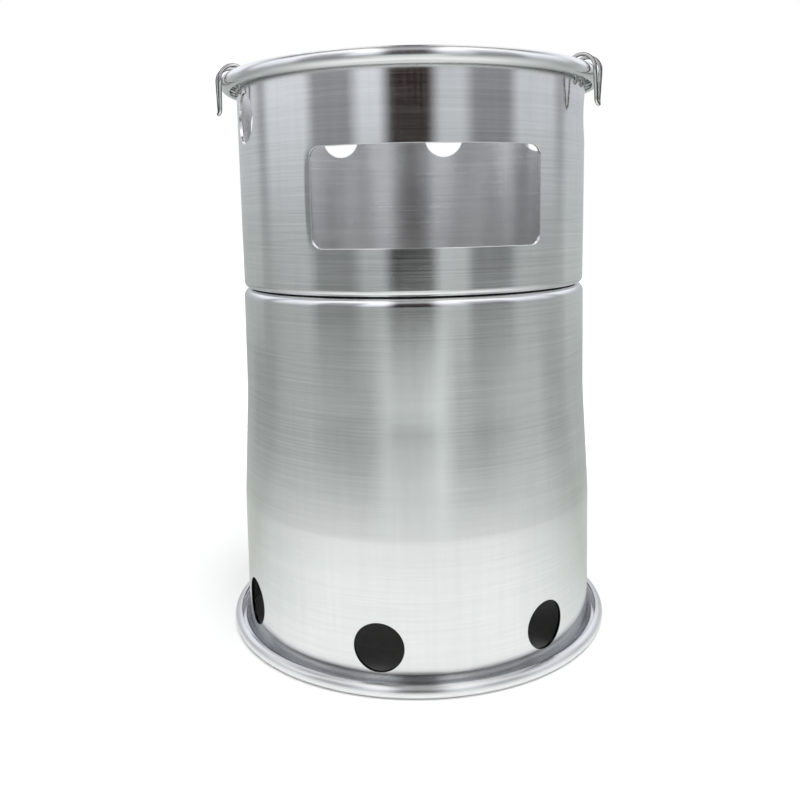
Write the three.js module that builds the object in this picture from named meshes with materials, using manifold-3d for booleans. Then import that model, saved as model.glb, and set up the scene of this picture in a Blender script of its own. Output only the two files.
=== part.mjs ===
// Take-apart camping wood stove: two drawn aluminium cups, bottom to bottom, with three swing-over wire pot
// supports on the rim and a loose fire grate. Millimetres, +Z up, origin on the ground at the middle of the base.
// Azimuths are degrees round the stove from the middle of the feed window, which faces -Y, towards +X.
import * as THREE from 'three';
import { mergeVertices } from 'three/addons/utils/BufferGeometryUtils.js';
import Module from 'manifold-3d';

const wasm = await Module();
wasm.setup();

// Driving dimensions of the two cups
const stoveHeight = 223;
const jointHeight = 140.8;
const sheet = 1.2;
const seatGap = 0.3;
const baseWallRadius = 72.6;
const flareFootRadius = 72.35;
const flareFootHeight = 55.5;
const flareTopRadius = 69.8;
const flareTopHeight = 98.5;
const lowerTopRadius = 69.5;
const upperFootRadius = 69.25;
const upperTopRadius = 69.4;
const shoulderBend = 3;
const footBend = 2.4;

// Rolled rims, bent the same way on both cups
const baseOverhang = 6.4;
const topOverhang = 6.1;
const rimFilletBend = 2.2;
const rimCurlBend = 2.8;
const rimCurlEnd = -100;

// Floor opening of the upper cup, turned down into the opening of the lower cup
const openingRadius = 56;
const collarClearance = 0.6;
const collarDepth = 4;
const collarBend = 2;

// Feed window
const windowWidth = 80.6;
const windowHeight = 34.7;
const sillRise = 17;
const windowCorner = 3.4;

// Round vents, one punch for both cups
const ventDiameter = 18.4;
const lowerVentHeight = 16;
const lowerVentCount = 7;
const lowerVentMiddle = -16.6;
const lowerVentSpread = 52.5;
const upperVentDrop = 17.4;
const upperVentMiddle = 182.9;
const upperVentSpread = 43.2;
const upperVentCount = 6;

// Wire pot supports
const wireDiameter = 1.4;
const wireClearance = 0.35;
const supportAzimuths = { left: -76, right: 58.5, rear: 171.2 };
const legSpread = 8;
const hairpinSpread = 3.2;
const legDrop = 13.3;
const tipFlare = 0.5;
const tailAngle = 249;
const slotMargin = 0.3;
const legShares = [0.02, 0.3, 0.6, 0.9];
const pinAngles = [10, 35, 60];

// Fire grate
const grateRadius = 59;
const grateThickness = 1.5;
const grateHoleDiameter = 7.5;
const grateHolePitch = 14.2;
const grateHoleRings = 3;
const firstRingHoles = 6;

// Facets
const turnSteps = 48;
const bendSteps = 3;
const curlSteps = 6;
const punchSteps = 12;
const cornerSteps = 2;
const slotSteps = 2;
const grateHoleSteps = 5;
const grateSteps = 36;
const wireSides = 6;
const wireSteps = 60;
const ringStep = 20;

const half = 0.5;
const halfSheet = sheet * half;
const radians = THREE.MathUtils.degToRad;

// A bend of the sheet's middle line, as points with a normal to their left
function bend(centreRadius, centreHeight, radius, fromAngle, toAngle, steps, mirror, turn) {
  const samples = [];
  for (let i = 0; i <= steps; i += 1) {
    const angle = radians(fromAngle + (toAngle - fromAngle) * i / steps);
    const across = Math.cos(angle);
    const along = mirror * Math.sin(angle);
    samples.push({
      point: new THREE.Vector2(centreRadius + radius * across, centreHeight + radius * along),
      normal: new THREE.Vector2(turn * across, turn * along),
    });
  }
  return samples;
}

// The rolled rim at the mouth of a cup: fillet, flat land and a curl that ends facing the wall
function rolledRim(wallRadius, overhang, edgeHeight, mirror) {
  const filletRadius = rimFilletBend - halfSheet;
  const curlRadius = rimCurlBend - halfSheet;
  const filletCentre = wallRadius - sheet + rimFilletBend;
  const curlCentre = wallRadius + overhang - rimCurlBend;
  const filletHeight = edgeHeight - mirror * rimFilletBend;
  const curlHeight = edgeHeight - mirror * rimCurlBend;
  return [
    ...bend(filletCentre, filletHeight, filletRadius, 180, 90, bendSteps, mirror, mirror),
    ...bend(curlCentre, curlHeight, curlRadius, 90, rimCurlEnd, curlSteps, mirror, mirror),
  ];
}

// Point of a wall's middle line where its outer face has a given radius
function wallPoint(outerRadius, height) {
  return { point: new THREE.Vector2(outerRadius - halfSheet, height), normal: new THREE.Vector2(1, 0) };
}

// Closed profile of a sheet of even thickness round its middle line
function sheetProfile(samples) {
  const shift = (sample, side) => sample.point.clone().addScaledVector(sample.normal, side * halfSheet);
  const near = samples.map((sample) => shift(sample, -1));
  const far = samples.map((sample) => shift(sample, 1)).reverse();
  return [...near, ...far, near[0]];
}

function revolve(profile) {
  return new THREE.LatheGeometry(profile, turnSteps).rotateX(Math.PI / 2);
}

function toSolid(geometry) {
  const bare = geometry.clone();
  bare.deleteAttribute('normal');
  bare.deleteAttribute('uv');
  const merged = mergeVertices(bare);
  return new wasm.Manifold(new wasm.Mesh({
    numProp: 3,
    vertProperties: new Float32Array(merged.attributes.position.array),
    triVerts: new Uint32Array(merged.index.array),
  }));
}

function toGeometry(solid) {
  const mesh = solid.getMesh();
  const geometry = new THREE.BufferGeometry();
  geometry.setAttribute('position', new THREE.BufferAttribute(mesh.vertProperties, 3));
  geometry.setIndex(new THREE.BufferAttribute(mesh.triVerts, 1));
  geometry.computeVertexNormals();
  return geometry;
}

function circle(radius, x, y) {
  return new THREE.Shape().absarc(x, y, radius, 0, Math.PI * 2);
}

// Azimuths of a row of vents, spread evenly to both sides of its middle
function rowAzimuths(middle, spread, count) {
  const azimuths = [];
  for (let i = 0; i < count; i += 1) azimuths.push(middle + spread * (i - (count - 1) * half));
  return azimuths;
}

// Upright rectangle with round corners about its middle
function roundedRectangle(width, height, corner) {
  const right = width * half - corner;
  const top = height * half - corner;
  return new THREE.Shape()
    .absarc(right, top, corner, 0, Math.PI / 2)
    .absarc(-right, top, corner, Math.PI / 2, Math.PI)
    .absarc(-right, -top, corner, Math.PI, Math.PI * 3 / 2)
    .absarc(right, -top, corner, Math.PI * 3 / 2, Math.PI * 2);
}

// A punch driven outwards through the wall at an azimuth and height
function punch(shape, azimuth, height, sideways, curveSegments) {
  const turn = radians(azimuth);
  const across = new THREE.Vector3(Math.cos(turn), Math.sin(turn), 0);
  const outwards = new THREE.Vector3(Math.sin(turn), -Math.cos(turn), 0);
  const length = upperTopRadius;
  const place = new THREE.Matrix4().makeBasis(across, new THREE.Vector3(0, 0, 1), outwards);
  const start = across.clone().multiplyScalar(sideways).addScaledVector(outwards, length * half);
  place.setPosition(start.x, start.y, height);
  const cutter = new THREE.ExtrudeGeometry(shape, { depth: length, bevelEnabled: false, curveSegments });
  return toSolid(cutter.applyMatrix4(place));
}

function cutAll(geometry, cutters) {
  return toGeometry(cutters.reduce((solid, cutter) => solid.subtract(cutter), toSolid(geometry)));
}

// Ring that each wire makes round the rolled rim of the upper cup, and the swing centre of the supports
const rimFilletPlace = new THREE.Vector2(upperTopRadius - sheet + rimFilletBend, stoveHeight - rimFilletBend);
const rimCurlPlace = new THREE.Vector2(upperTopRadius + topOverhang - rimCurlBend, stoveHeight - rimCurlBend);
const swingCentre = new THREE.Vector2().lerpVectors(rimFilletPlace, rimCurlPlace, half);
const rimReach = Math.max(
  swingCentre.distanceTo(rimFilletPlace) + rimFilletBend,
  swingCentre.distanceTo(rimCurlPlace) + rimCurlBend,
);
const ringRadius = rimReach + wireClearance + wireDiameter * half;

// Slots that let the rings through the wall: a corner of a slot lies a fixed distance inside or outside the ring
function crossing(wallRadius, distance) {
  const run = swingCentre.x - wallRadius;
  return swingCentre.y - Math.sqrt(distance * distance - run * run);
}
const wireRoom = wireDiameter * half + slotMargin;
const slotTop = crossing(upperTopRadius - sheet, ringRadius - wireRoom);
const slotBottom = crossing(upperTopRadius, ringRadius + wireRoom);
const slotWidth = wireRoom * 2;

function lowerBody() {
  const plateHeight = jointHeight - halfSheet;
  const shoulderCentre = lowerTopRadius - shoulderBend;
  const edge = {
    point: new THREE.Vector2(openingRadius, plateHeight),
    normal: new THREE.Vector2(0, 1),
  };
  const samples = [
    edge,
    ...bend(shoulderCentre, jointHeight - shoulderBend, shoulderBend - halfSheet, 90, 0, bendSteps, 1, 1),
    wallPoint(flareTopRadius, flareTopHeight),
    wallPoint(flareFootRadius, flareFootHeight),
    ...rolledRim(baseWallRadius, baseOverhang, 0, -1),
  ];
  const vent = circle(ventDiameter * half, 0, 0);
  const azimuths = rowAzimuths(lowerVentMiddle, lowerVentSpread, lowerVentCount);
  const cutters = azimuths.map((azimuth) => punch(vent, azimuth, lowerVentHeight, 0, punchSteps));
  return cutAll(revolve(sheetProfile(samples)), cutters);
}

function upperBody() {
  const floorHeight = jointHeight + seatGap + halfSheet;
  const collarRadius = openingRadius - collarClearance - halfSheet;
  const footCentre = upperFootRadius - footBend;
  const bendRadius = collarBend - halfSheet;
  const collarEnd = {
    point: new THREE.Vector2(collarRadius, jointHeight + seatGap - collarDepth),
    normal: new THREE.Vector2(-1, 0),
  };
  const samples = [
    collarEnd,
    ...bend(collarRadius + bendRadius, floorHeight - bendRadius, bendRadius, 180, 90, bendSteps, 1, 1),
    ...bend(footCentre, jointHeight + seatGap + footBend, footBend - halfSheet, -90, 0, bendSteps, 1, -1),
    ...rolledRim(upperTopRadius, topOverhang, stoveHeight, 1),
  ];
  const window = roundedRectangle(windowWidth, windowHeight, windowCorner);
  const windowMiddle = jointHeight + sillRise + windowHeight * half;
  const vent = circle(ventDiameter * half, 0, 0);
  const slot = roundedRectangle(slotWidth, slotTop - slotBottom, slotWidth * half);
  const cutters = [punch(window, 0, windowMiddle, 0, cornerSteps)];
  for (const azimuth of rowAzimuths(upperVentMiddle, upperVentSpread, upperVentCount)) {
    cutters.push(punch(vent, azimuth, stoveHeight - upperVentDrop, 0, punchSteps));
  }
  for (const azimuth of Object.values(supportAzimuths)) {
    for (const side of [-1, 1]) {
      const middle = (slotTop + slotBottom) * half;
      cutters.push(punch(slot, azimuth, middle, side * legSpread * half, slotSteps));
    }
  }
  return cutAll(revolve(sheetProfile(samples)), cutters);
}

// Punched disc that lies on the floor of the upper cup, over its opening
function fireGrate() {
  const disc = circle(grateRadius, 0, 0);
  disc.holes.push(circle(grateHoleDiameter * half, 0, 0));
  for (let ring = 1; ring <= grateHoleRings; ring += 1) {
    const count = firstRingHoles * ring;
    for (let i = 0; i < count; i += 1) {
      const angle = Math.PI * 2 * i / count;
      const reach = grateHolePitch * ring;
      disc.holes.push(circle(grateHoleDiameter * half, reach * Math.cos(angle), reach * Math.sin(angle)));
    }
  }
  const outline = disc.getPoints(grateSteps);
  const plate = new THREE.Shape(outline);
  plate.holes = disc.holes.map((hole) => new THREE.Path(hole.getPoints(grateHoleSteps)));
  return new THREE.ExtrudeGeometry(plate, { depth: grateThickness, bevelEnabled: false });
}

// One half of a support's wire, from its tail in the rim's channel over the rim and down to the hairpin.
// X runs along the rim, -Y outwards and +Z up, from the swing centre.
function supportHalf(side) {
  const points = [];
  const spread = legSpread * half;
  const pinRadius = hairpinSpread * half;
  for (let angle = tailAngle; angle > 0; angle -= ringStep) {
    const turn = radians(angle);
    points.push(new THREE.Vector3(side * spread, -ringRadius * Math.cos(turn), ringRadius * Math.sin(turn)));
  }
  const pinHeight = -legDrop + pinRadius + wireDiameter * half;
  for (const share of legShares) {
    const across = THREE.MathUtils.lerp(spread, pinRadius, share);
    points.push(new THREE.Vector3(side * across, -ringRadius, pinHeight * share));
  }
  for (const angle of pinAngles) {
    const turn = radians(angle);
    const out = tipFlare * Math.sin(turn) ** 2;
    const across = side * pinRadius * Math.cos(turn);
    points.push(new THREE.Vector3(across, -ringRadius - out, pinHeight - pinRadius * Math.sin(turn)));
  }
  return points;
}

// Stainless wire bent to a hairpin whose two legs ring the rolled rim
function potSupport() {
  const lowest = new THREE.Vector3(0, -ringRadius - tipFlare, -legDrop + wireDiameter * half);
  const path = new THREE.CatmullRomCurve3([...supportHalf(-1), lowest, ...supportHalf(1).reverse()]);
  const section = new THREE.Shape(circle(wireDiameter * half, 0, 0).getSpacedPoints(wireSides).slice(1));
  return new THREE.ExtrudeGeometry(section, { steps: wireSteps, extrudePath: path, bevelEnabled: false });
}

const aluminium = { color: 0xc9cbcb, roughness: 0.32, metalness: 1 };
const plainSteel = { color: 0xa9a8a3, roughness: 0.38, metalness: 1 };
const wireSteel = { color: 0x8f8e88, roughness: 0.25, metalness: 1 };

function piece(name, geometry, finish) {
  const mesh = new THREE.Mesh(geometry, new THREE.MeshStandardMaterial(finish));
  mesh.name = name;
  return mesh;
}

const group = new THREE.Group();
group.add(piece('lower_body', lowerBody(), aluminium));
group.add(piece('upper_body', upperBody(), aluminium));

const grate = piece('fire_grate', fireGrate(), plainSteel);
grate.position.z = jointHeight + seatGap + sheet + seatGap;
group.add(grate);

for (const [name, azimuth] of Object.entries(supportAzimuths)) {
  const turn = radians(azimuth);
  const support = piece(`pot_support_${name}`, potSupport(), wireSteel);
  support.position.set(swingCentre.x * Math.sin(turn), -swingCentre.x * Math.cos(turn), swingCentre.y);
  support.rotation.z = turn;
  group.add(support);
}

export default group;
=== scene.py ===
import math

import bpy
from mathutils import Matrix, Vector
from mathutils.geometry import delaunay_2d_cdt


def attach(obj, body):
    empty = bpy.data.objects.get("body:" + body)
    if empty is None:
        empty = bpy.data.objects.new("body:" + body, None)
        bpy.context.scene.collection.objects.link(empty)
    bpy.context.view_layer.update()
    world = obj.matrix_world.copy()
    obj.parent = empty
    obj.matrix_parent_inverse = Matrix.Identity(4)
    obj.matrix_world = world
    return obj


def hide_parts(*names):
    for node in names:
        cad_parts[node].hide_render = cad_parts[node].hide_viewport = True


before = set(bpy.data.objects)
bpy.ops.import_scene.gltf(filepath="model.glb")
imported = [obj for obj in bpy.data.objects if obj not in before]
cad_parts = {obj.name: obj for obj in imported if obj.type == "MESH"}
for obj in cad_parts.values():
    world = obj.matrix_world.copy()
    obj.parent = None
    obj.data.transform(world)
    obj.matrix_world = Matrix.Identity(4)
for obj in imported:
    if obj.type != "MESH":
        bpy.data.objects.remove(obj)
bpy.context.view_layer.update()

# Looks of the take-apart camping wood stove. Lengths are millimetres in the row frame until a mesh is made.
# Azimuths are degrees round the stove from the middle of the feed window, which faces -Y, towards +X.
MM = 0.001

# Sizes of the two cups, the same as the solids have
STOVE_HEIGHT = 223.0
JOINT_HEIGHT = 140.8
SHEET = 1.2
SEAT_GAP = 0.3
BASE_WALL = 72.6
FLARE_FOOT = (72.35, 55.5)
FLARE_TOP = (69.8, 98.5)
LOWER_TOP = 69.5
UPPER_FOOT = 69.25
UPPER_TOP = 69.4
SHOULDER_BEND = 3.0
FOOT_BEND = 2.4
BASE_OVERHANG = 6.4
TOP_OVERHANG = 6.1
FILLET_BEND = 2.2
BASE_FILLET = 3.4
BASE_CURL = 2.4
CURL_BEND = 2.8
CURL_END = -100.0
OPENING = 56.0
COLLAR_CLEARANCE = 0.6
COLLAR_DEPTH = 4.0
COLLAR_BEND = 2.0
WINDOW = (80.6, 34.7, 3.4)
SILL_RISE = 17.0
VENT = 18.4
LOWER_VENT_HEIGHT = 16.0
LOWER_VENTS = [-16.6 + 52.5 * (i - 3) for i in range(7)]
UPPER_VENT_HEIGHT = STOVE_HEIGHT - 17.4
UPPER_VENTS = [182.9 + 43.2 * (i - 2.5) for i in range(6)]
SUPPORTS = {"left": -76.0, "right": 58.5, "rear": 171.2}

# Wire supports
WIRE = 1.4
WIRE_CLEARANCE = 0.35
LEG_SPREAD = 8.0
HAIRPIN_SPREAD = 3.2
LEG_DROP = 13.3
TIP_FLARE = 0.5
TAIL_ANGLE = 249.0
SLOT_MARGIN = 0.3

# Fire grate
GRATE_RADIUS = 59.0
GRATE_THICKNESS = 1.5
GRATE_HOLE = 7.5
GRATE_PITCH = 14.2
GRATE_RINGS = 3

# Fineness of the visual meshes
COLUMNS = 180
ROW_STEP = 3.0
CUT_STEP = 2.4
BEND_STEP = 7.5
RING_STEP = 10.0
EDGE_ROUND = 0.22
EDGE_STEPS = 3
DRAWN_WIDTH = 2.2
DRAWN_LEAN = 0.25
FLARE_BLENDS = (5.0, 1.2)
HALF_SHEET = SHEET / 2
HAIR = 1e-6


class Skin:
    """Points with their own normals, brush coordinates and finish weights, and the faces between them."""

    def __init__(self):
        self.points = []
        self.normals = []
        self.brush = []
        self.polish = []
        self.cut = []
        self.inner = []
        self.faces = []

    def add(self, point, normal, brush, polish=0.0, cut=0.0, inner=0.0):
        self.points.append(Vector(point) * MM)
        self.normals.append(Vector(normal).normalized())
        self.brush.append(Vector(brush) * MM)
        self.polish.append(polish)
        self.cut.append(cut)
        self.inner.append(inner)
        return len(self.points) - 1

    def stitch(self, ring_a, ring_b, closed=True):
        count = len(ring_a)
        for i in range(count if closed else count - 1):
            j = (i + 1) % count
            self.faces.append((ring_a[i], ring_a[j], ring_b[j], ring_b[i]))

    def face_outwards(self):
        """Turns each face so that its corners run the way their normals point."""
        turned = []
        for face in self.faces:
            corners = [self.points[i] for i in face]
            across = (corners[1] - corners[0]).cross(corners[2] - corners[0])
            if len(face) == 4:
                across = (corners[2] - corners[0]).cross(corners[3] - corners[1])
            wanted = sum((self.normals[i] for i in face), Vector())
            turned.append(face if across.dot(wanted) > 0 else tuple(reversed(face)))
        self.faces = turned

    def make(self, name, material):
        self.face_outwards()
        mesh = bpy.data.meshes.new(name)
        mesh.from_pydata([tuple(p) for p in self.points], [], self.faces)
        mesh.update()
        for key, values in (("polish", self.polish), ("cut", self.cut), ("inner", self.inner)):
            layer = mesh.attributes.new(key, "FLOAT", "POINT")
            layer.data.foreach_set("value", values)
        layer = mesh.attributes.new("brush", "FLOAT_VECTOR", "POINT")
        layer.data.foreach_set("vector", [c for v in self.brush for c in v])
        mesh.polygons.foreach_set("use_smooth", [True] * len(mesh.polygons))
        mesh.normals_split_custom_set_from_vertices([tuple(n) for n in self.normals])
        mesh.materials.append(material)
        piece = bpy.data.objects.new(name, mesh)
        bpy.context.scene.collection.objects.link(piece)
        return piece


def spot(radius, azimuth, height):
    turn = math.radians(azimuth)
    return Vector((radius * math.sin(turn), -radius * math.cos(turn), height))


def bend(centre, radius, start, end, mirror, turn, polish=(0.0, 0.0)):
    """A bend of the sheet's middle line: (radius, height, normal, normal, polish) for each step."""
    steps = max(2, round(abs(end - start) / BEND_STEP))
    samples = []
    for i in range(steps + 1):
        share = i / steps
        angle = math.radians(start + (end - start) * share)
        across, along = math.cos(angle), mirror * math.sin(angle)
        glow = polish[0] + (polish[1] - polish[0]) * share
        samples.append((centre[0] + radius * across, centre[1] + radius * along, turn * across, turn * along, glow))
    return samples


def rolled_rim(wall, overhang, edge, mirror, soft, tight):
    fillet = (wall - SHEET + soft, edge - mirror * soft)
    curl = (wall + overhang - tight, edge - mirror * tight)
    return [
        *bend(fillet, soft - HALF_SHEET, 180, 90, mirror, mirror, (0.0, 1.0)),
        *bend(curl, tight - HALF_SHEET, 90, CURL_END, mirror, mirror, (1.0, 1.0)),
    ]


def flare(low, high):
    """The S of the lower cup's wall, from its top down: a soft corner above and a crisp one at its foot."""
    samples = []
    line = [(LOWER_TOP, JOINT_HEIGHT - SHOULDER_BEND), high, low, (BASE_WALL, BASE_FILLET)]
    for k, blend in zip((1, 2), FLARE_BLENDS):
        before, here, after = (Vector(line[k + n]) for n in (-1, 0, 1))
        back = (before - here).normalized() * blend
        ahead = (after - here).normalized() * blend
        for i in range(7):
            t = i / 6
            point = (1 - t) ** 2 * (here + back) + 2 * t * (1 - t) * here + t * t * (here + ahead)
            run = (1 - t) * -back + t * ahead
            normal = Vector((-run.y, run.x)).normalized()
            samples.append((point.x - HALF_SHEET, point.y, normal.x, normal.y, 0.0))
    return samples


def outline(width, height, corner, grow, step):
    """Rounded rectangle or circle, grown by a distance: (across, up, normal across, normal up) for each point."""
    right, top = width / 2 - corner, height / 2 - corner
    reach = corner + grow
    arc = max(3, round(corner * math.pi / 2 / step))
    found = []
    for quarter, (cx, cy) in enumerate(((right, top), (-right, top), (-right, -top), (right, -top))):
        for i in range(arc + 1):
            angle = math.pi / 2 * (quarter + i / arc)
            found.append((cx + reach * math.cos(angle), cy + reach * math.sin(angle), math.cos(angle), math.sin(angle)))
    points = []
    for here, after in zip(found, found[1:] + found[:1]):
        gap = math.hypot(after[0] - here[0], after[1] - here[1])
        if gap < HAIR:
            continue
        straight = abs(here[2] - after[2]) + abs(here[3] - after[3]) < HAIR
        cuts = max(1, round(gap / CUT_STEP)) if straight else 1
        for i in range(cuts):
            points.append(tuple(a + (b - a) * i / cuts for a, b in zip(here, after)))
    return points


class Hole:
    """A hole punched outwards through the wall, with rounded cut edges on both faces."""

    def __init__(self, azimuth, height, shape, sideways=0.0, step=1.3, drawn=False):
        self.azimuth = azimuth
        self.height = height
        self.shape = shape
        self.sideways = sideways
        self.step = step
        self.drawn = drawn

    def ring(self, grow):
        return outline(*self.shape, grow, self.step)

    def place(self, radius, across, up):
        """Point of the wall at a radius, for a point of the outline; a drawn-in hole is cut square to the wall."""
        sideways = across + self.sideways
        turn = math.degrees(math.asin(sideways / (UPPER_TOP if self.drawn else radius)))
        return self.azimuth + turn, self.height + up


def slant(ring_a, ring_b, azimuth, height):
    """Radius, normal and arc length of a skin between two of its rings, at a height."""
    share = (height - ring_a["z"]) / (ring_b["z"] - ring_a["z"])
    radius = ring_a["r"] + (ring_b["r"] - ring_a["r"]) * share
    length = ring_a["s"] + (ring_b["s"] - ring_a["s"]) * share
    nr = ring_a["n"][0] + (ring_b["n"][0] - ring_a["n"][0]) * share
    nz = ring_a["n"][1] + (ring_b["n"][1] - ring_a["n"][1]) * share
    turn = math.radians(azimuth)
    return radius, Vector((nr * math.sin(turn), -nr * math.cos(turn), nz)), length


def add_ring(skin, r, z, nr, nz, s, polish, inner, seam, cut=0.0):
    ids = []
    for i in range(COLUMNS):
        azimuth = seam + 360 * i / COLUMNS
        turn = math.radians(azimuth)
        normal = (nr * math.sin(turn), -nr * math.cos(turn), nz)
        ids.append(skin.add(spot(r, azimuth, z), normal, spot(OPENING, azimuth, s), polish, cut, inner))
    return {"ids": ids, "r": r, "z": z, "n": (nr, nz), "s": s, "polish": polish, "inner": inner}


def perforated(skin, ring_a, ring_b, holes, seam):
    """Fills the wall between two rings with fine triangles round the holes; returns each hole's points by skin id."""
    scale = math.pi * ring_a["r"] / 180
    low, high = sorted((ring_a["z"], ring_b["z"]))
    flat, ids, rims = [], [], []

    def at(azimuth, height, cut, lean=0.0):
        radius, normal, length = slant(ring_a, ring_b, azimuth, height)
        normal = normal + spot(lean, azimuth + 90, 0)
        brush = spot(OPENING, azimuth, length)
        return skin.add(spot(radius, azimuth, height), normal, brush, 0.0, cut, ring_a["inner"])

    for ring in (ring_a, ring_b):
        for i in range(COLUMNS + 1):
            flat.append((scale * 360 * i / COLUMNS, ring["z"]))
            ids.append(ring["ids"][i % COLUMNS])
    loops = []
    for hole in holes:
        radius = slant(ring_a, ring_b, 0, hole.height)[0]
        start, rim = len(flat), []
        drawn = hole.drawn and not ring_a["inner"]
        for across, up, side, _ in hole.ring(EDGE_ROUND):
            azimuth, height = hole.place(radius, across, up)
            flat.append((scale * ((azimuth - seam) % 360), height))
            lean = DRAWN_LEAN * max(0.0, -side) * math.cos(math.pi * up / hole.shape[1])
            rim.append(at(azimuth, height, 0.0, lean if drawn else 0.0))
        ids.extend(rim)
        rims.append(rim)
        loops.append(list(range(start, len(flat))))
        for across, up, _, _ in hole.ring(EDGE_ROUND + DRAWN_WIDTH) if drawn else []:
            azimuth, height = hole.place(radius, across, up)
            flat.append((scale * ((azimuth - seam) % 360), height))
            ids.append(at(azimuth, height, 0.0))
    rows = max(1, round((high - low) / ROW_STEP))
    for k in range(1, rows):
        height = low + (high - low) * k / rows
        row = []
        for i in range(COLUMNS):
            azimuth = seam + 360 * i / COLUMNS
            if any(too_near(hole, ring_a["r"], azimuth, height) for hole in holes):
                row.append(None)
                continue
            row.append(at(azimuth, height, 0.0))
        for i in range(COLUMNS + 1):
            found = row[i % COLUMNS]
            if found is not None:
                flat.append((scale * 360 * i / COLUMNS, height))
                ids.append(found)
    edges = [(a, b) for loop in loops for a, b in zip(loop, loop[1:] + loop[:1])]
    made = delaunay_2d_cdt([Vector(p) for p in flat], edges, loops, 0, 1e-5, True)
    sources = [origin[0] for origin in made[3]]
    for face, origin in zip(made[2], made[5]):
        if not origin:
            skin.faces.append(tuple(ids[sources[i]] for i in face))
    return rims


def too_near(hole, radius, azimuth, height):
    """Whether a point of the grid lies in a hole or so close to it that its triangles would be slivers."""
    away = (azimuth - hole.azimuth + 180) % 360 - 180
    across = radius * math.sin(math.radians(away)) - hole.sideways if abs(away) < 80 else 999.0
    width, high, corner = hole.shape
    dx = max(abs(across) - (width / 2 - corner), 0)
    dz = max(abs(height - hole.height) - (high / 2 - corner), 0)
    return math.hypot(dx, dz) < corner + EDGE_ROUND + 1.0 + (DRAWN_WIDTH if hole.drawn else 0.0)


def hole_sides(skin, hole, outer, inner_ring, outer_rings, inner_rings):
    """Rounded edges and cut face of a hole, from the outer face's rim to the inner face's."""
    base_out = slant(*outer_rings, 0, hole.height)[0]
    base_in = slant(*inner_rings, 0, hole.height)[0]
    rings = [outer]
    stations = []
    for k in range(1, EDGE_STEPS + 1):
        angle = math.pi / 2 * k / EDGE_STEPS
        stations.append((base_out - EDGE_ROUND * (1 - math.cos(angle)), EDGE_ROUND * (1 - math.sin(angle)), math.cos(angle), 1))
    for k in range(EDGE_STEPS, 0, -1):
        angle = math.pi / 2 * k / EDGE_STEPS
        stations.append((base_in + EDGE_ROUND * (1 - math.cos(angle)), EDGE_ROUND * (1 - math.sin(angle)), math.cos(angle), -1))
    turn = math.radians(hole.azimuth)
    across_dir = Vector((math.cos(turn), math.sin(turn), 0))
    for radius, grow, lean, side in stations:
        ring = []
        tip = slant(*(outer_rings if side > 0 else inner_rings), 0, hole.height)[0]
        for across, up, na, nu in hole.ring(grow):
            azimuth, height = hole.place(tip, across, up)
            local = slant(*(outer_rings if side > 0 else inner_rings), azimuth, height)[0]
            here = spot(local + radius - tip, azimuth, height)
            outwards = spot(1, azimuth, 0) * side
            along = spot(1, azimuth + 90, 0) if hole.drawn else across_dir
            into = -(along * na + Vector((0, 0, nu)))
            normal = outwards * lean + into * math.sqrt(max(0, 1 - lean * lean))
            ring.append(skin.add(here, normal, spot(OPENING, azimuth, height), 0.0, 1.0, 0.0))
        rings.append(ring)
    rings.append(inner_ring)
    for a, b in zip(rings, rings[1:]):
        skin.stitch(a, b)


def cup(name, samples, holes, seam, inside_sign, material):
    """Revolves a sheet profile; straight runs longer than a few millimetres of wall are perforated."""
    lengths = [0.0]
    for a, b in zip(samples, samples[1:]):
        lengths.append(lengths[-1] + math.hypot(b[0] - a[0], b[1] - a[1]))
    skin = Skin()
    sides = {}
    for side in (1, -1):
        rings = []
        for (r, z, nr, nz, polish), s in zip(samples, lengths):
            inner = 1.0 if side == inside_sign else 0.0
            place = (r + side * nr * HALF_SHEET, z + side * nz * HALF_SHEET)
            rings.append(add_ring(skin, *place, side * nr, side * nz, s, polish, inner, seam))
        sides[side] = rings
    for k in range(len(samples) - 1):
        low, high = sorted((samples[k][1], samples[k + 1][1]))
        upright = abs(samples[k][0] - samples[k + 1][0]) < 0.3 * (high - low)
        here = [hole for hole in holes if low < hole.height < high] if upright and high - low > 8 else []
        pairs = {side: (sides[side][k], sides[side][k + 1]) for side in (1, -1)}
        if not upright or high - low <= 8:
            for side in (1, -1):
                skin.stitch(pairs[side][0]["ids"], pairs[side][1]["ids"])
            continue
        rims = {side: perforated(skin, *pairs[side], here, seam) for side in (1, -1)}
        outside = -inside_sign
        for i, hole in enumerate(here):
            hole_sides(skin, hole, rims[outside][i], rims[inside_sign][i], pairs[outside], pairs[inside_sign])
    for k, forward in ((0, -1), (len(samples) - 1, 1)):
        close_edge(skin, sides, samples, lengths, k, forward, seam)
    return skin.make(name, material)


def close_edge(skin, sides, samples, lengths, k, forward, seam):
    """Round cut edge of the sheet at one end of its profile."""
    r, z, nr, nz, polish = samples[k]
    ahead = Vector((-nz, nr))
    other = samples[k + 1] if k == 0 else samples[k - 1]
    if ahead.dot(Vector((r - other[0], z - other[1]))) < 0:
        ahead = -ahead
    rings = [sides[1][k]["ids"]]
    for i in range(1, 6):
        angle = math.pi * i / 6
        normal = Vector((nr, nz)) * math.cos(angle) + ahead * math.sin(angle)
        place = Vector((r, z)) + Vector((nr, nz)) * HALF_SHEET * math.cos(angle) + ahead * 0.25 * math.sin(angle)
        rings.append(add_ring(skin, *place, *normal, lengths[k], polish, 0.0, seam, 1.0)["ids"])
    rings.append(sides[-1][k]["ids"])
    for a, b in zip(rings, rings[1:]):
        skin.stitch(a, b)


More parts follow.
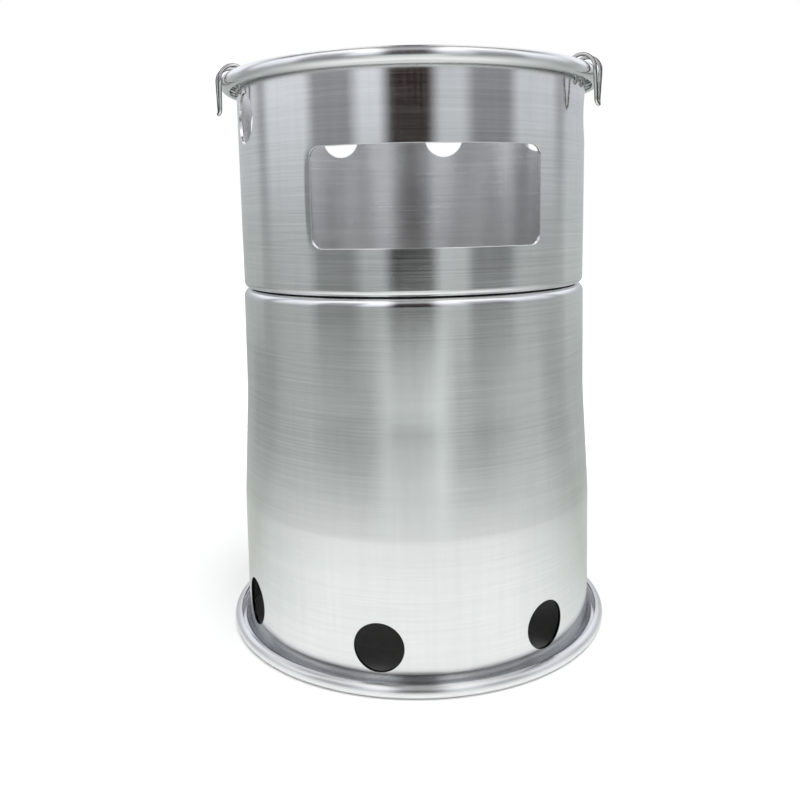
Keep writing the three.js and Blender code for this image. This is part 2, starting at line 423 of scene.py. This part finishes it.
# Swing centre of the supports and the slots that let them through
FILLET_PLACE = Vector((UPPER_TOP - SHEET + FILLET_BEND, STOVE_HEIGHT - FILLET_BEND))
CURL_PLACE = Vector((UPPER_TOP + TOP_OVERHANG - CURL_BEND, STOVE_HEIGHT - CURL_BEND))
SWING = (FILLET_PLACE + CURL_PLACE) / 2
RIM_REACH = max((SWING - FILLET_PLACE).length + FILLET_BEND, (SWING - CURL_PLACE).length + CURL_BEND)
RING_RADIUS = RIM_REACH + WIRE_CLEARANCE + WIRE / 2
WIRE_ROOM = WIRE / 2 + SLOT_MARGIN


def crossing(wall, distance):
    return SWING.y - math.sqrt(distance ** 2 - (SWING.x - wall) ** 2)


SLOT_TOP = crossing(UPPER_TOP - SHEET, RING_RADIUS - WIRE_ROOM)
SLOT_BOTTOM = crossing(UPPER_TOP, RING_RADIUS + WIRE_ROOM)


def smooth_path(points, step):
    """Points of a soft curve through the given ones, about a step apart."""
    found = []
    ends = [points[0] * 2 - points[1]] + points + [points[-1] * 2 - points[-2]]
    for a, b, c, d in zip(ends, ends[1:], ends[2:], ends[3:]):
        knots = [0.0]
        for p, q in ((a, b), (b, c), (c, d)):
            knots.append(knots[-1] + max((q - p).length, HAIR) ** 0.5)
        count = max(1, round((c - b).length / step))
        for i in range(count):
            t = knots[1] + (knots[2] - knots[1]) * i / count
            found.append(centripetal((a, b, c, d), knots, t))
    found.append(points[-1])
    return found


def between(a, b, low, high, t):
    return a * ((high - t) / (high - low)) + b * ((t - low) / (high - low))


def centripetal(points, knots, t):
    first = [between(points[i], points[i + 1], knots[i], knots[i + 1], t) for i in range(3)]
    second = [between(first[i], first[i + 1], knots[i], knots[i + 2], t) for i in range(2)]
    return between(second[0], second[1], knots[1], knots[2], t)


def support_path():
    """Middle line of a support's wire, from one tail over the rim, round the hairpin and back to the other tail."""
    halves = []
    for side in (-1, 1):
        points = []
        steps = round(TAIL_ANGLE / RING_STEP)
        for i in range(steps):
            turn = math.radians(TAIL_ANGLE * (1 - i / steps))
            points.append(Vector((side * LEG_SPREAD / 2, -RING_RADIUS * math.cos(turn), RING_RADIUS * math.sin(turn))))
        pin = HAIRPIN_SPREAD / 2
        foot = -LEG_DROP + pin + WIRE / 2
        for share in (0.02, 0.3, 0.6, 0.9):
            across = LEG_SPREAD / 2 + (pin - LEG_SPREAD / 2) * share
            points.append(Vector((side * across, -RING_RADIUS, foot * share)))
        for angle in (10, 35, 60):
            turn = math.radians(angle)
            out = TIP_FLARE * math.sin(turn) ** 2
            points.append(Vector((side * pin * math.cos(turn), -RING_RADIUS - out, foot - pin * math.sin(turn))))
        halves.append(points)
    lowest = Vector((0, -RING_RADIUS - TIP_FLARE, -LEG_DROP + WIRE / 2))
    return smooth_path(halves[0] + [lowest] + halves[1][::-1], 0.5)


def wire_tube(name, path, azimuth, material):
    """Round wire along a path, with domed cut ends."""
    skin = Skin()
    turn = math.radians(azimuth)
    place = Matrix.Translation(spot(SWING.x, azimuth, SWING.y)) @ Matrix.Rotation(turn, 4, "Z")
    sides, up = 14, Vector((1, 0, 0))
    length, rings = 0.0, []
    for i, point in enumerate(path):
        before, after = path[max(i - 1, 0)], path[min(i + 1, len(path) - 1)]
        ahead = (after - before).normalized()
        up = (up - ahead * up.dot(ahead)).normalized()
        right = ahead.cross(up)
        if i:
            length += (point - before).length
        domes = (60, 30, 0) if i == 0 else (0, 30, 60) if i == len(path) - 1 else (0,)
        back = ahead if i == 0 else -ahead
        for dome in domes:
            thin, deep = math.cos(math.radians(dome)), math.sin(math.radians(dome))
            ids = []
            for j in range(sides):
                angle = 2 * math.pi * j / sides
                out = up * math.cos(angle) + right * math.sin(angle)
                here = point + out * WIRE / 2 * thin - back * 0.3 * deep
                normal = out * thin - back * deep
                brush = (length, 3 * math.cos(angle), 3 * math.sin(angle))
                moved = place @ here
                ids.append(skin.add(moved, place.to_3x3() @ normal, brush, 0.0, 1.0 if dome else 0.0))
            rings.append(ids)
    for a, b in zip(rings, rings[1:]):
        skin.stitch(a, b)
    for ids, end in ((rings[0], 0), (rings[-1], -1)):
        away = (path[0] - path[1]).normalized() if end == 0 else (path[-1] - path[-2]).normalized()
        tip = skin.add(place @ (path[end] + away * 0.3), place.to_3x3() @ away, (length * -end, 0, 0), 0.0, 1.0)
        for a, b in zip(ids, ids[1:] + ids[:1]):
            skin.faces.append((a, b, tip))
    return skin.make(name, material)


def grate(name, material):
    """Punched disc with rounded punched edges."""
    skin = Skin()
    low = JOINT_HEIGHT + 2 * SEAT_GAP + SHEET
    places = [(0.0, 0.0)]
    for ring in range(1, GRATE_RINGS + 1):
        for i in range(6 * ring):
            angle = 2 * math.pi * i / (6 * ring)
            places.append((GRATE_PITCH * ring * math.cos(angle), GRATE_PITCH * ring * math.sin(angle)))
    circles = [(x, y, GRATE_HOLE / 2, 20, -1) for x, y in places]
    circles.append((0.0, 0.0, GRATE_RADIUS, 96, 1))
    edge = 0.25
    rims = {}
    for top in (1, 0):
        flat, ids, loops = [], [], []
        height = low + GRATE_THICKNESS * top
        normal = (0, 0, 1 if top else -1)
        for n, (x, y, radius, steps, side) in enumerate(circles):
            start, rim = len(flat), []
            for i in range(steps):
                angle = 2 * math.pi * i / steps
                px = x + (radius - side * edge) * math.cos(angle)
                py = y + (radius - side * edge) * math.sin(angle)
                flat.append((px, py))
                rim.append(skin.add((px, py, height), normal, (px, py, 0)))
            ids.extend(rim)
            rims[n, top] = rim
            loops.append(list(range(start, len(flat))))
        edges = [(a, b) for loop in loops for a, b in zip(loop, loop[1:] + loop[:1])]
        made = delaunay_2d_cdt([Vector(p) for p in flat], edges, loops, 0, 1e-5, True)
        sources = [origin[0] for origin in made[3]]
        outer = len(circles) - 1
        for face, origin in zip(made[2], made[5]):
            if list(origin) == [outer]:
                skin.faces.append(tuple(ids[sources[i]] for i in face))
    for n, (x, y, radius, steps, side) in enumerate(circles):
        rings = [rims[n, 1]]
        for top in (1, 0):
            order = range(1, EDGE_STEPS + 1) if top else range(EDGE_STEPS, 0, -1)
            for k in order:
                angle = math.pi / 2 * k / EDGE_STEPS
                reach = radius - side * edge * (1 - math.sin(angle))
                sign = 1 if top else -1
                height = low + GRATE_THICKNESS * top - sign * edge * (1 - math.cos(angle))
                ring = []
                for i in range(steps):
                    turn = 2 * math.pi * i / steps
                    out = Vector((math.cos(turn), math.sin(turn), 0))
                    normal = out * side * math.sin(angle) + Vector((0, 0, sign * math.cos(angle)))
                    ring.append(skin.add((x + out.x * reach, y + out.y * reach, height), normal, (x + out.x * reach, y + out.y * reach, height), 0.0, 1.0))
                rings.append(ring)
        rings.append(rims[n, 0])
        for a, b in zip(rings, rings[1:]):
            skin.stitch(a, b)
    return skin.make(name, material)


WALL_ROUGHNESS = 0.15


class Nodes:
    """Short way to add and join shader nodes."""

    def __init__(self, tree):
        self.tree = tree
        tree.nodes.clear()

    def add(self, kind, values=None, **settings):
        node = self.tree.nodes.new(kind)
        for key, value in settings.items():
            setattr(node, key, value)
        for key, value in (values or {}).items():
            socket = node.inputs[key]
            if isinstance(value, bpy.types.NodeSocket):
                self.tree.links.new(value, socket)
            else:
                socket.default_value = value
        return node

    def math(self, operation, a, b=0.0):
        return self.add("ShaderNodeMath", {0: a, 1: b}, operation=operation).outputs[0]

    def scaled(self, vector, scale):
        node = self.add("ShaderNodeVectorMath", {0: vector, 1: scale}, operation="MULTIPLY")
        return node.outputs[0]

    def noise(self, vector, scale, detail=3.0, rough=0.55):
        values = {"Vector": self.scaled(vector, scale), "Scale": 1.0, "Detail": detail, "Roughness": rough}
        return self.add("ShaderNodeTexNoise", values).outputs[0]

    def span(self, value, low, high, to_low, to_high):
        values = {"Value": value, "From Min": low, "From Max": high, "To Min": to_low, "To Max": to_high}
        return self.add("ShaderNodeMapRange", values, clamp=True).outputs[0]

    def mix(self, factor, a, b):
        node = self.add("ShaderNodeMix", data_type="RGBA")
        for socket, value in ((node.inputs[0], factor), (node.inputs[6], a), (node.inputs[7], b)):
            if isinstance(value, bpy.types.NodeSocket):
                self.tree.links.new(value, socket)
            else:
                socket.default_value = value
        return node.outputs[2]

    def attribute(self, name):
        return self.add("ShaderNodeAttribute", attribute_name=name)


def finish_nodes(name):
    material = bpy.data.materials.new(name)
    material.use_nodes = True
    return material, Nodes(material.node_tree)


def aluminium(name, inner_tone_and_shade, edge, rim, crease_shade, rim_blur, grain, haze):
    """Satin drawn aluminium: brush lines round the cup, faint upright drawing marks and a polished rim, with painted
    shade in the groove at the rim's foot; the inner skin and cut edges take tones of their own, which on the lower cup
    are dark painted shade.
    """
    material, n = finish_nodes(name)
    brush = n.attribute("brush").outputs["Vector"]
    polish = n.attribute("polish").outputs["Fac"]
    cut = n.attribute("cut").outputs["Fac"]
    inner = n.attribute("inner").outputs["Fac"]
    fine = n.noise(brush, (26, 26, 5200), 2.0, 0.6)
    lines = n.noise(brush, (20, 20, 1500), 4.0, 0.65)
    bands = n.noise(brush, (9, 9, 160), 3.0, 0.6)
    drawn = n.noise(brush, (420, 420, 16), 3.0, 0.6)
    streaks = n.noise(brush, (1700, 1700, 26), 2.0, 0.6)
    cloud = n.noise(brush, (38, 38, 42), 3.0, 0.55)
    marks = n.span(n.noise(brush, (45, 45, 1900), 2.0, 0.5), 0.64, 0.76, 0.0, 0.09)
    lines_mask = n.span(cloud, 0.35, 0.65, 0.55, 1.0)
    shade = n.math("MULTIPLY", n.math("SUBTRACT", lines, 0.5), n.math("MULTIPLY", lines_mask, 0.26))
    shade = n.math("ADD", shade, n.math("MULTIPLY", n.math("SUBTRACT", bands, 0.5), 0.12))
    shade = n.math("ADD", shade, n.math("MULTIPLY", n.math("SUBTRACT", drawn, 0.5), 0.10))
    shade = n.math("ADD", shade, n.math("MULTIPLY", n.math("SUBTRACT", cloud, 0.5), 0.10))
    level = n.span(n.math("ADD", n.math("MULTIPLY", shade, grain), marks), -0.16, 0.16, 0.0, 1.0)
    wall = n.mix(level, (0.75, 0.76, 0.755, 1), (0.93, 0.935, 0.935, 1))
    # Tone of the inner skin; on the lower cup it is a dark painted shade for its shut-in interior.
    low, high = inner_tone_and_shade * 0.90, inner_tone_and_shade * 1.11
    inner_shaded = n.mix(level, (low, low, low, 1), (high, high, high, 1))
    dull = n.mix(inner, wall, inner_shaded)
    # Painted shade in the groove where the wall meets the rolled rim: the middle of the fillet takes the darker groove
    # tone.
    shaded_hollow = n.math("MULTIPLY", n.math("MULTIPLY", polish, n.math("SUBTRACT", 1.0, polish)), 4.0)
    rolled = n.mix(polish, dull, (rim, rim * 1.005, rim * 1.01, 1))
    groove_shaded = n.mix(shaded_hollow, rolled, (crease_shade * 0.96, crease_shade, crease_shade * 1.04, 1))
    # Cut edges take the edge tone; on the lower cup it is a near-black painted shade, so its vents read dark.
    colour = n.mix(cut, groove_shaded, (edge, edge, edge, 1))
    rough = n.math("ADD", WALL_ROUGHNESS, n.math("MULTIPLY", n.math("SUBTRACT", lines, 0.5), 0.12))
    rough = n.math("ADD", rough, n.math("MULTIPLY", n.math("SUBTRACT", cloud, 0.5), 0.08))
    rough = n.math("MULTIPLY", rough, n.span(polish, 0.0, 1.0, 1.0, rim_blur))
    rough = n.math("ADD", rough, n.math("MULTIPLY", inner, 0.10))
    rubbed_and_sheen = n.math("ADD", n.math("MULTIPLY", lines, 0.5), n.math("MULTIPLY", streaks, 0.5))
    metal = n.span(rubbed_and_sheen, 0.44, 0.62, 1.0, 1.0 - haze)
    relief = n.math("ADD", n.math("MULTIPLY", fine, 0.5), n.math("MULTIPLY", lines, 0.5))
    relief = n.math("MULTIPLY", relief, n.span(polish, 0.0, 1.0, 1.0, 0.2))
    bump = n.add("ShaderNodeBump", {"Strength": 0.18, "Distance": 0.00003, "Height": relief})
    tangent = n.add("ShaderNodeTangent", direction_type="RADIAL", axis="Z")
    shader = n.add(
        "ShaderNodeBsdfPrincipled",
        {
            "Base Color": colour,
            "Metallic": metal,
            "Roughness": rough,
            "Normal": bump.outputs[0],
            "Tangent": tangent.outputs[0],
            "Anisotropic": n.span(cut, 0.0, 1.0, 0.9, 0.3),
            "Anisotropic Rotation": 0.25,
        },
    )
    n.add("ShaderNodeOutputMaterial", {"Surface": shader.outputs[0]})
    return material


def steel(name, base, lines_scale, roughness, depth, flank_sheen, edge):
    """Stainless steel with fine lines along its rolling or drawing direction and cut edges of their own tone; on a
    wire, painted sheen and shade on fixed sides round it.
    """
    material, n = finish_nodes(name)
    brush = n.attribute("brush").outputs["Vector"]
    cut = n.attribute("cut").outputs["Fac"]
    lines = n.noise(brush, lines_scale, 4.0, 0.6)
    cloud = n.noise(brush, (60, 60, 60), 3.0, 0.55)
    dark = tuple(c * depth for c in base) + (1,)
    pale = tuple(min(1, c * 1.2) for c in base) + (1,)
    level = n.span(n.math("ADD", n.math("MULTIPLY", lines, 0.7), n.math("MULTIPLY", cloud, 0.3)), 0.3, 0.7, 0.0, 1.0)
    # Painted highlight and shade: a wire is paler along two fixed sides round it and darker between them, however it is
    # lit.
    side = n.math("ABSOLUTE", n.add("ShaderNodeSeparateXYZ", {0: brush}).outputs[1])
    rubbed_and_sheen = n.math("MULTIPLY", n.span(side, 0.0019, 0.0029, -1.0, 1.0), flank_sheen)
    level = n.add("ShaderNodeMath", {0: level, 1: rubbed_and_sheen}, operation="ADD", use_clamp=True).outputs[0]
    colour = n.mix(cut, n.mix(level, dark, pale), tuple(min(1, c * edge) for c in base) + (1,))
    rough = n.span(lines, 0.3, 0.7, roughness - 0.05, roughness + 0.08)
    bump = n.add("ShaderNodeBump", {"Strength": 0.15, "Distance": 0.00003, "Height": lines})
    shader = n.add(
        "ShaderNodeBsdfPrincipled",
        {"Base Color": colour, "Metallic": 1.0, "Roughness": rough, "Normal": bump.outputs[0]},
    )
    n.add("ShaderNodeOutputMaterial", {"Surface": shader.outputs[0]})
    return material


# The two cups
shoulder_centre = (LOWER_TOP - SHOULDER_BEND, JOINT_HEIGHT - SHOULDER_BEND)
lower_samples = [
    (OPENING, JOINT_HEIGHT - HALF_SHEET, 0.0, 1.0, 0.0),
    *bend(shoulder_centre, SHOULDER_BEND - HALF_SHEET, 90, 0, 1, 1),
    *flare(FLARE_FOOT, FLARE_TOP),
    *rolled_rim(BASE_WALL, BASE_OVERHANG, 0.0, -1, BASE_FILLET, BASE_CURL),
]
lower_holes = [Hole(azimuth, LOWER_VENT_HEIGHT, (VENT, VENT, VENT / 2)) for azimuth in LOWER_VENTS]
# The lower cup's dark inner skin, near-black cut edges and darker rim groove are painted shade.
lower = cup("lower_cup", lower_samples, lower_holes, 163.0, -1, aluminium("lower_aluminium_painted_shade", 0.30, 0.06, 0.88, 0.58, 1.3, 1.4, 0.03))

floor_height = JOINT_HEIGHT + SEAT_GAP + HALF_SHEET
collar_radius = OPENING - COLLAR_CLEARANCE - HALF_SHEET
collar_bend = COLLAR_BEND - HALF_SHEET
foot_centre = (UPPER_FOOT - FOOT_BEND, JOINT_HEIGHT + SEAT_GAP + FOOT_BEND)
upper_samples = [
    (collar_radius, JOINT_HEIGHT + SEAT_GAP - COLLAR_DEPTH, -1.0, 0.0, 0.0),
    *bend((collar_radius + collar_bend, floor_height - collar_bend), collar_bend, 180, 90, 1, 1),
    *bend(foot_centre, FOOT_BEND - HALF_SHEET, -90, 0, 1, -1),
    *rolled_rim(UPPER_TOP, TOP_OVERHANG, STOVE_HEIGHT, 1, FILLET_BEND, CURL_BEND),
]
window_height = JOINT_HEIGHT + SILL_RISE + WINDOW[1] / 2
slot_width = WIRE_ROOM * 2
slot_shape = (slot_width, SLOT_TOP - SLOT_BOTTOM, slot_width / 2)
upper_holes = [Hole(0.0, window_height, WINDOW, step=0.9, drawn=True)]
upper_holes += [Hole(azimuth, UPPER_VENT_HEIGHT, (VENT, VENT, VENT / 2)) for azimuth in UPPER_VENTS]
for azimuth in SUPPORTS.values():
    for side in (-1, 1):
        middle = (SLOT_TOP + SLOT_BOTTOM) / 2
        upper_holes.append(Hole(azimuth, middle, slot_shape, side * LEG_SPREAD / 2, 0.35))
upper = cup("upper_cup", upper_samples, upper_holes, 186.0, 1, aluminium("upper_aluminium", 0.83, 1.0, 0.90, 0.90, 0.7, 1.8, 0.035))

grate_metal = steel("punched_steel", (0.60, 0.59, 0.57), (2600, 60, 60), 0.34, 0.78, 0.0, 1.25)
grate_piece = grate("grate_disc", grate_metal)
wire_metal = steel("drawn_wire", (0.72, 0.71, 0.69), (60, 520, 520), 0.14, 0.10, 0.85, 0.35)

for piece, body, node, slot_name in (
    (lower, "base", "lower_body", "aluminium"),
    (upper, "chamber", "upper_body", "aluminium"),
    (grate_piece, "grate", "fire_grate", "grate_steel"),
):
    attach(piece, body)
    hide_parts(node)

wire_line = support_path()
for side_name, azimuth in SUPPORTS.items():
    piece = wire_tube("support_wire_" + side_name, wire_line, azimuth, wire_metal)
    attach(piece, "support_" + side_name)
    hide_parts("pot_support_" + side_name)

# Studio: white floor and surroundings, soft lamps, grey and dark screens that only reflections show, and a
# painted-shade disc under the open base
CAMERA_AZIMUTH = -5.2
GREEN_CAST = (0.94, 1.0, 0.985)
BLUE_CAST = (0.975, 0.995, 1.06)
WARM_BLACK = (2.2, 1.1, 1.15)
# Bands of the surroundings: azimuth where each begins, then its tone at each height but the last
SURROUND_BANDS = [
    (-180, 0.04, 0.04, 0.05, 0.10), (-175, 0.46, 0.57, 1.00, 0.95), (-112, 0.36, 0.37, 0.40, 0.45),
    (-102, 0.40, 0.77, 0.88, 1.10), (-64, 0.20, 0.29, 0.34, 0.45), (-34, 0.36, 0.76, 0.93, 1.25),
    (-15, 0.00, 0.01, 0.02, 0.05), (14, 0.50, 0.57, 0.75, 1.10), (35, 0.19, 0.25, 0.37, 0.60),
    (65, 0.40, 0.63, 0.79, 1.10), (101, 0.42, 0.37, 0.52, 0.80), (112, 0.52, 0.57, 1.00, 0.95),
    (175, 0.04, 0.04, 0.05, 0.10),
]
SURROUND_HEIGHTS = (0.14, 0.32, 0.50, 0.85, 1.35)
TABLE_FRONT = (0.96, 0.985, 0.97)
TABLE_SIDE = (0.565, 0.59, 0.575)
TABLE_BANDS = [
    (-180, 0.42), (-128, 0.33), (-95, 0.41), (-52, 0.38), (-21, 0.70), (6, 0.84), (20, 0.41), (50, 0.51),
    (88, 0.39), (112, 0.46),
]
CEILING = (1.25, 1.25, 1.25)
CEILING_BEAM = (0.10, 0.10, 0.105)
BACK_STRIP = (0.05, 0.05, 0.05)
STRIP_FRONT = (0.50, 0.50, 0.51)
STRIP_OVERHEAD = (0.24, 0.24, 0.25)
SURROUND_RADIUS = 0.95
SURROUND_TOP = 1.7
SURROUND_SIDES = 96
TABLE_HEIGHT = 0.0004
SHADE_DISC_RADIUS = 0.0722


def emission(name, paint):
    material, n = finish_nodes(name)
    shader = n.add("ShaderNodeEmission", {"Strength": 1.0})
    n.tree.links.new(paint(n), shader.inputs[0])
    n.add("ShaderNodeOutputMaterial", {"Surface": shader.outputs[0]})
    return material


def stage_mesh(name, points, faces, material):
    mesh = bpy.data.meshes.new(name)
    mesh.from_pydata(points, [], faces)
    mesh.materials.append(material)
    made = bpy.data.objects.new(name, mesh)
    bpy.context.scene.collection.objects.link(made)
    return made


def screen(name, points, faces, material):
    """A glowing surface that only reflections show, turned to the camera's side."""
    made = stage_mesh(name, points, faces, material)
    made.rotation_euler = (0, 0, math.radians(CAMERA_AZIMUTH))
    made.visible_camera = False
    made.visible_diffuse = False
    made.visible_shadow = False
    made.visible_transmission = False
    return made


def banded(n, place, bands, soft, cast):
    """Soft-edged bands by azimuth, in degrees from the camera's side; each band begins where its entry says."""
    parts = n.add("ShaderNodeSeparateXYZ", {0: place})
    turn = n.math("ARCTAN2", parts.outputs[0], n.math("MULTIPLY", parts.outputs[1], -1.0))
    ramp = n.add("ShaderNodeValToRGB", {0: n.span(turn, -math.pi, math.pi, 0.0, 1.0)})
    stops = []
    for (_, before), (edge, after) in zip(bands, bands[1:]):
        stops += [((edge - soft + 180) / 360, before), ((edge + soft + 180) / 360, after)]
    ends = ramp.color_ramp.elements
    ends[0].position, ends[0].color = 0.0, tint(bands[0][1], cast)
    ends[1].position, ends[1].color = 1.0, tint(bands[-1][1], cast)
    for position, tone in stops:
        ends.new(position).color = tint(tone, cast)
    return ramp.outputs[0]


def tint(tone, cast):
    """Colour of a tone under a colour cast; the darkest tones are a warm black."""
    red, green, blue = WARM_BLACK if tone < 0.03 else cast
    return tone * red, tone * green, tone * blue, 1


def surround_tone(n):
    """Upright bands that change with height, below a white ceiling with a dull beam and a dull strip."""
    place = n.add("ShaderNodeTexCoord").outputs["Object"]
    parts = n.add("ShaderNodeSeparateXYZ", {0: place}).outputs
    tones = []
    for level, cast in ((1, GREEN_CAST), (2, BLUE_CAST), (3, BLUE_CAST), (4, BLUE_CAST)):
        tones.append(banded(n, place, [(band[0], band[level]) for band in SURROUND_BANDS], 4, cast))
    roof = n.mix(n.span(parts[1], -0.12, 0.15, 0.0, 1.0), (*CEILING, 1), (*CEILING_BEAM, 1))
    strip = n.mix(n.span(parts[1], -0.55, -0.25, 0.0, 1.0), (*STRIP_FRONT, 1), (*STRIP_OVERHEAD, 1))
    roof = n.mix(n.span(n.math("ABSOLUTE", parts[0]), 0.22, 0.36, 0.0, 1.0), strip, roof)
    back = n.mix(n.span(n.math("ABSOLUTE", parts[0]), 0.07, 0.13, 0.0, 1.0), (*BACK_STRIP, 1), (*CEILING, 1))
    tones.append(n.mix(n.span(parts[1], 0.5, 0.8, 0.0, 1.0), roof, back))
    found = tones[0]
    for tone, low, high in zip(tones[1:], SURROUND_HEIGHTS, SURROUND_HEIGHTS[1:]):
        found = n.mix(n.span(parts[2], low, high, 0.0, 1.0), found, tone)
    return found


def table_tone(n):
    """The white sheet under the stove, brightest towards the camera, and the banded table farther off."""
    place = n.add("ShaderNodeTexCoord").outputs["Object"]
    bands = banded(n, place, TABLE_BANDS, 6, GREEN_CAST)
    reach = n.add("ShaderNodeVectorMath", {0: place}, operation="LENGTH").outputs["Value"]
    away = n.add("ShaderNodeSeparateXYZ", {0: place}).outputs[1]
    facing = n.math("DIVIDE", n.math("MULTIPLY", away, -1.0), reach)
    sheet = n.mix(n.span(facing, -0.3, 0.75, 0.0, 1.0), (*TABLE_SIDE, 1), (*TABLE_FRONT, 1))
    dim = n.span(reach, 0.17, 0.25, 1.0, 0.81)
    near = n.add("ShaderNodeVectorMath", {0: sheet, "Scale": dim}, operation="SCALE").outputs[0]
    return n.mix(n.span(reach, 0.30, 0.48, 0.0, 1.0), near, bands)


def circle_points(radius, height):
    turns = [2 * math.pi * i / SURROUND_SIDES for i in range(SURROUND_SIDES)]
    return [(radius * math.cos(t), radius * math.sin(t), height) for t in turns]


def hoop():
    """Faces between two circles of points, one after the other."""
    n = SURROUND_SIDES
    return [(i, (i + 1) % n, n + (i + 1) % n, n + i) for i in range(n)]


round_wall = circle_points(SURROUND_RADIUS, 0.0) + circle_points(SURROUND_RADIUS, SURROUND_TOP)
lid = tuple(range(SURROUND_SIDES, 2 * SURROUND_SIDES))
screen("surround_screen", round_wall, hoop() + [lid], emission("surround_light", surround_tone))

table_inside = (BASE_WALL + BASE_OVERHANG + 1) * MM
round_table = circle_points(table_inside, TABLE_HEIGHT) + circle_points(SURROUND_RADIUS, TABLE_HEIGHT)
screen("table_screen", round_table, hoop(), emission("table_light", table_tone))


def matt(name, low, high, scale):
    """Plain dull finish with a fine grain between two greys."""
    material, n = finish_nodes(name)
    grain = n.noise(n.add("ShaderNodeTexCoord").outputs["Object"], (scale, scale, scale), 2.0)
    shade = n.mix(grain, (low, low, low, 1), (high, high, high, 1))
    shader = n.add("ShaderNodeBsdfPrincipled", {"Base Color": shade, "Roughness": 0.9, "Specular IOR Level": 0.1})
    n.add("ShaderNodeOutputMaterial", {"Surface": shader.outputs[0]})
    return material


FLOOR_SIZE = 6.0
corners = [(x * FLOOR_SIZE, y * FLOOR_SIZE, 0) for x, y in ((-1, -1), (1, -1), (1, 1), (-1, 1))]
stage_mesh("floor", corners, [(0, 1, 2, 3)], matt("white_floor", 0.94, 0.96, 300))
# Painted shade: a dark disc of ground under the open base, so the interior seen through the vents reads dark.
shaded_hollow = circle_points(SHADE_DISC_RADIUS, TABLE_HEIGHT)
stage_mesh("shade_disc_ground", shaded_hollow, [tuple(range(SURROUND_SIDES))], matt("painted_shade_ground", 0.32, 0.42, 300))

SKY_STRENGTH = 0.70
SUN_STRENGTH = 1.9
SUN_ANGLE = 45.0
world = bpy.data.worlds.new("studio")
bpy.context.scene.world = world
world.use_nodes = True
n = Nodes(world.node_tree)
path = n.add("ShaderNodeLightPath")
seen = n.math("MAXIMUM", path.outputs["Is Camera Ray"], path.outputs["Is Glossy Ray"])
seen = n.math("MAXIMUM", seen, path.outputs["Is Transmission Ray"])
plain = n.add("ShaderNodeBackground", {"Color": (1, 1, 1, 1), "Strength": SKY_STRENGTH})
white = n.add("ShaderNodeBackground", {"Color": (1, 1, 1, 1), "Strength": 1.0})
both = n.add("ShaderNodeMixShader", {0: seen, 1: plain.outputs[0], 2: white.outputs[0]})
n.add("ShaderNodeOutputWorld", {"Surface": both.outputs[0]})

sun_data = bpy.data.lights.new("overhead_light", "SUN")
sun_data.energy = SUN_STRENGTH
sun_data.angle = math.radians(SUN_ANGLE)
sun = bpy.data.objects.new("overhead_light", sun_data)
sun.rotation_euler = (math.radians(16), math.radians(4), 0)
sun.visible_glossy = False
bpy.context.scene.collection.objects.link(sun)

# Camera where the photograph was taken from
CAMERA_DISTANCE = 360.1
CAMERA_HEIGHT = 169.26
CAMERA_PITCH = 8.0
CAMERA_TURN = 0.937
CAMERA_ROLL = -1.029
FOCAL_PIXELS = 861.8
PICTURE = 800.0
MIDDLE_ROW = 335.15

pitch, turn, roll = (math.radians(a) for a in (CAMERA_PITCH, CAMERA_TURN, CAMERA_ROLL))
right = Vector((math.cos(turn), math.sin(turn), 0))
ahead = Vector((-math.sin(turn), math.cos(turn), 0))
forward = ahead * math.cos(pitch) - Vector((0, 0, math.sin(pitch)))
up = ahead * math.sin(pitch) + Vector((0, 0, math.cos(pitch)))
rolled_right = right * math.cos(roll) + up * math.sin(roll)
rolled_up = up * math.cos(roll) - right * math.sin(roll)
axes = Matrix((rolled_right, rolled_up, -forward)).transposed().to_4x4()
camera_data = bpy.data.cameras.new("camera")
camera_data.sensor_width = 36.0
camera_data.lens = FOCAL_PIXELS * camera_data.sensor_width / PICTURE
camera_data.shift_y = (MIDDLE_ROW - PICTURE / 2) / PICTURE
camera_data.clip_start = 0.01
camera = bpy.data.objects.new("camera", camera_data)
stand = Matrix.Translation(Vector((0, -CAMERA_DISTANCE, CAMERA_HEIGHT)) * MM)
camera.matrix_world = Matrix.Rotation(math.radians(CAMERA_AZIMUTH), 4, "Z") @ stand @ axes
bpy.context.scene.collection.objects.link(camera)
bpy.context.scene.camera = camera
bpy.context.scene.view_settings.view_transform = "Standard"
